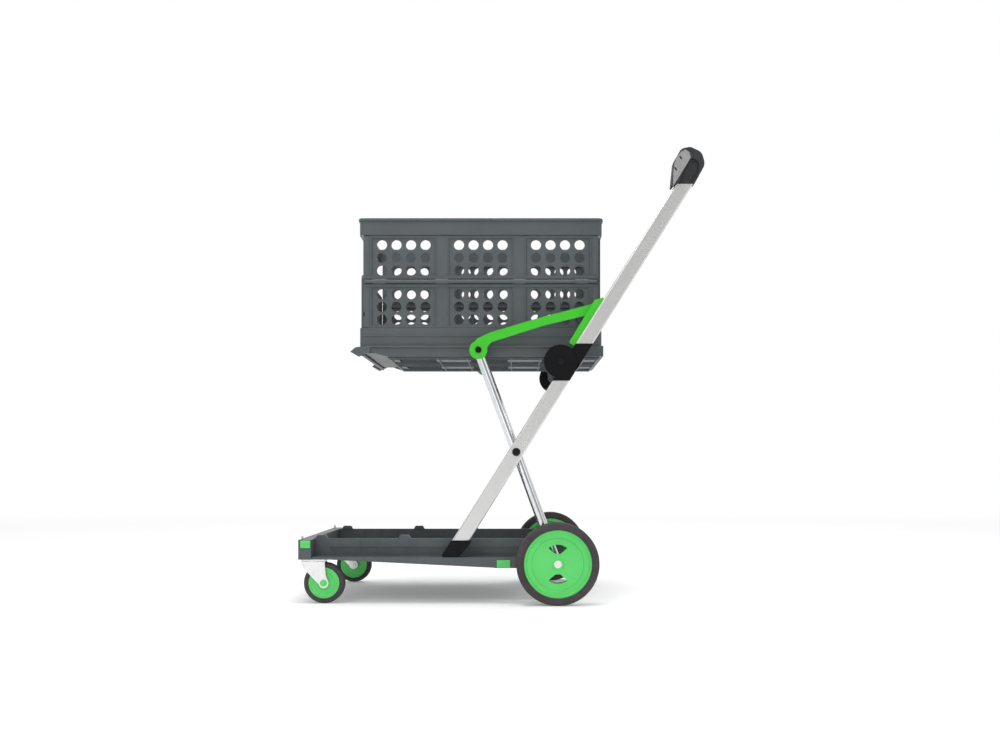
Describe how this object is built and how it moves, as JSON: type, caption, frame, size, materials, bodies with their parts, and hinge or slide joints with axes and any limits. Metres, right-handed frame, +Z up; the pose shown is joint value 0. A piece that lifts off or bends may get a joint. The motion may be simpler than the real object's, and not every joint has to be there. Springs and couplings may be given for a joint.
{
  "type": "folding shopping cart",
  "caption": "Folding shopping cart with a scissor frame, a handle that folds over, a collapsible crate on a platform, a lower tray, fixed rear wheels and swivel casters.",
  "frame": {"origin": "on the floor, below the middle of the cart's bounding box", "axes": "+Z up, +X towards the handle, the cart's left side is -Y"},
  "size_m": [0.9112, 0.55, 1.0234],
  "materials": {
    "grey_plastic": "fine moulded grain, satin",
    "black_plastic": "fine moulded grain, satin",
    "black_steel": "black coated steel",
    "grip_rubber": "soft rubber, matte",
    "satin_aluminium": "satin anodised, brushed along its length",
    "bright_steel": "bright chromed tube",
    "zinc_steel": "bright zinc plate",
    "green_plastic": "semi-gloss moulded",
    "arm_green": "semi-gloss moulded",
    "tyre": "soft grey-black rubber",
    "white_plastic": "semi-gloss moulded"
  },
  "bodies": {
    "deck": {"deck_tray": "grey_plastic", "deck_pads": "grey_plastic", "corner_posts": "zinc_steel", "rear_axle": "bright_steel", "caster_plates": "zinc_steel", "king_pins": "zinc_steel", "side_rail_left": "grey_plastic", "side_rail_right": "grey_plastic"},
    "strut_frame": {"strut_caps": "arm_green", "scissor_rod": "black_steel", "strut_pins": "black_steel", "strut_left": "bright_steel", "strut_right": "bright_steel"},
    "lower_frame": {"guide_rollers": "black_plastic", "hinge_pins": "black_steel", "lower_bar_left": "satin_aluminium", "lower_bar_right": "satin_aluminium", "lower_hinge_left": "black_plastic", "lower_hinge_right": "black_plastic", "shoe_left": "black_plastic", "shoe_right": "black_plastic"},
    "handle": {"grip_bar": "grip_rubber", "arm_brackets": "arm_green", "upper_bar_left": "satin_aluminium", "upper_bar_right": "satin_aluminium", "upper_hinge_left": "black_plastic", "upper_hinge_right": "black_plastic", "grip_end_left": "grip_rubber", "grip_end_right": "grip_rubber"},
    "link_arms": {"link_arm_left": "arm_green", "link_arm_right": "arm_green"},
    "platform": {"platform": "grey_plastic"},
    "crate": {"crate_base": "grey_plastic"},
    "crate_rim": {"crate_rim": "grey_plastic"},
    "front_flap": {"front_flap": "grey_plastic"},
    "rear_flap": {"rear_flap": "grey_plastic"},
    "lower_panel_left": {"lower_panel_left": "grey_plastic", "panel_rod_left": "grey_plastic"},
    "upper_panel_left": {"upper_panel_left": "grey_plastic"},
    "lower_panel_right": {"lower_panel_right": "grey_plastic", "panel_rod_right": "grey_plastic"},
    "upper_panel_right": {"upper_panel_right": "grey_plastic"},
    "caster_swivel_left": {"caster_fork_left": "zinc_steel", "caster_axle_left": "zinc_steel"},
    "caster_wheel_left": {"caster_wheel_left": "green_plastic", "caster_tyre_left": "tyre"},
    "rear_wheel_left": {"rear_wheel_left": "green_plastic", "rear_tyre_left": "tyre", "wheel_cap_left": "white_plastic"},
    "front_button_left": {"front_button_left": "green_plastic"},
    "rear_button_left": {"rear_button_left": "green_plastic"},
    "caster_swivel_right": {"caster_fork_right": "zinc_steel", "caster_axle_right": "zinc_steel"},
    "caster_wheel_right": {"caster_wheel_right": "green_plastic", "caster_tyre_right": "tyre"},
    "rear_wheel_right": {"rear_wheel_right": "green_plastic", "rear_tyre_right": "tyre", "wheel_cap_right": "white_plastic"},
    "front_button_right": {"front_button_right": "green_plastic"},
    "rear_button_right": {"rear_button_right": "green_plastic"}
  },
  "joints": [
    {"name": "fold", "type": "hinge", "parent": "deck", "child": "strut_frame", "pos_m": [0.1255, 0, 0.092], "axis": [0, -1, 0], "range_deg": [0, 56.5]},
    {"name": "scissor", "type": "hinge", "parent": "strut_frame", "child": "lower_frame", "pos_m": [0.03352, 0, 0.33999], "axis": [0, -1, 0], "range_deg": [-113, 0]},
    {"name": "handle_fold", "type": "hinge", "parent": "lower_frame", "child": "handle", "pos_m": [0.13348, 0, 0.54301], "axis": [0, -1, 0], "range_deg": [0, 172]},
    {"name": "link_arm_swing", "type": "hinge", "parent": "strut_frame", "child": "link_arms", "pos_m": [-0.0522, 0, 0.57111], "axis": [0, -1, 0], "range_deg": [-73.18, 0]},
    {"name": "platform_level", "type": "hinge", "parent": "lower_frame", "child": "platform", "pos_m": [0.13348, 0, 0.54301], "axis": [0, -1, 0], "range_deg": [0, 56.5]},
    {"name": "crate_lift", "type": "slide", "parent": "platform", "child": "crate", "axis": [0, 0, 1], "range_m": [0, 0.3]},
    {"name": "lower_panel_left_fold", "type": "hinge", "parent": "crate", "child": "lower_panel_left", "pos_m": [0, -0.1685, 0.626], "axis": [-1, 0, 0], "range_deg": [0, 88]},
    {"name": "upper_panel_left_fold", "type": "hinge", "parent": "lower_panel_left", "child": "upper_panel_left", "pos_m": [0, -0.1765, 0.732], "axis": [-1, 0, 0], "range_deg": [-176, 0]},
    {"name": "lower_panel_right_fold", "type": "hinge", "parent": "crate", "child": "lower_panel_right", "pos_m": [0, 0.1685, 0.626], "axis": [1, 0, 0], "range_deg": [0, 88]},
    {"name": "upper_panel_right_fold", "type": "hinge", "parent": "lower_panel_right", "child": "upper_panel_right", "pos_m": [0, 0.1765, 0.732], "axis": [1, 0, 0], "range_deg": [-176, 0]},
    {"name": "rim_level", "type": "hinge", "parent": "upper_panel_left", "child": "crate_rim", "pos_m": [0, -0.1685, 0.838], "axis": [-1, 0, 0], "range_deg": [0, 88]},
    {"name": "front_flap_fold", "type": "hinge", "parent": "crate", "child": "front_flap", "pos_m": [-0.318, 0, 0.585], "axis": [0, 1, 0], "range_deg": [0, 90]},
    {"name": "rear_flap_fold", "type": "hinge", "parent": "crate", "child": "rear_flap", "pos_m": [0.222, 0, 0.585], "axis": [0, -1, 0], "range_deg": [0, 90]},
    {"name": "caster_swivel_left", "type": "hinge", "parent": "deck", "child": "caster_swivel_left", "pos_m": [-0.4225, -0.215, 0.093], "axis": [0, 0, 1], "continuous": true},
    {"name": "caster_spin_left", "type": "hinge", "parent": "caster_swivel_left", "child": "caster_wheel_left", "pos_m": [-0.3985, -0.215, 0.046], "axis": [0, 1, 0], "continuous": true},
    {"name": "rear_spin_left", "type": "hinge", "parent": "deck", "child": "rear_wheel_left", "pos_m": [0.1255, -0.255, 0.092], "axis": [0, 1, 0], "continuous": true},
    {"name": "front_button_left_push", "type": "slide", "parent": "deck", "child": "front_button_left", "axis": [0, 1, 0], "range_m": [0, 0.003], "stiffness_N_per_m": 400},
    {"name": "rear_button_left_push", "type": "slide", "parent": "deck", "child": "rear_button_left", "axis": [0, 1, 0], "range_m": [0, 0.003], "stiffness_N_per_m": 400},
    {"name": "caster_swivel_right", "type": "hinge", "parent": "deck", "child": "caster_swivel_right", "pos_m": [-0.4225, 0.215, 0.093], "axis": [0, 0, 1], "continuous": true},
    {"name": "caster_spin_right", "type": "hinge", "parent": "caster_swivel_right", "child": "caster_wheel_right", "pos_m": [-0.3985, 0.215, 0.046], "axis": [0, 1, 0], "continuous": true},
    {"name": "rear_spin_right", "type": "hinge", "parent": "deck", "child": "rear_wheel_right", "pos_m": [0.1255, 0.255, 0.092], "axis": [0, 1, 0], "continuous": true},
    {"name": "front_button_right_push", "type": "slide", "parent": "deck", "child": "front_button_right", "axis": [0, -1, 0], "range_m": [0, 0.003], "stiffness_N_per_m": 400},
    {"name": "rear_button_right_push", "type": "slide", "parent": "deck", "child": "rear_button_right", "axis": [0, -1, 0], "range_m": [0, 0.003], "stiffness_N_per_m": 400}
  ],
  "couplings": [
    {"joint": "scissor", "follows": "fold", "ratio": -2},
    {"joint": "handle_fold", "follows": "fold", "ratio": 3.0442},
    {"joint": "link_arm_swing", "follows": "fold", "ratio": -1.2952},
    {"joint": "platform_level", "follows": "fold", "ratio": 1},
    {"joint": "rim_level", "follows": "fold", "ratio": 1.5575},
    {"joint": "lower_panel_left_fold", "follows": "fold", "ratio": 1.5575},
    {"joint": "upper_panel_left_fold", "follows": "fold", "ratio": -3.115},
    {"joint": "lower_panel_right_fold", "follows": "fold", "ratio": 1.5575},
    {"joint": "upper_panel_right_fold", "follows": "fold", "ratio": -3.115}
  ]
}
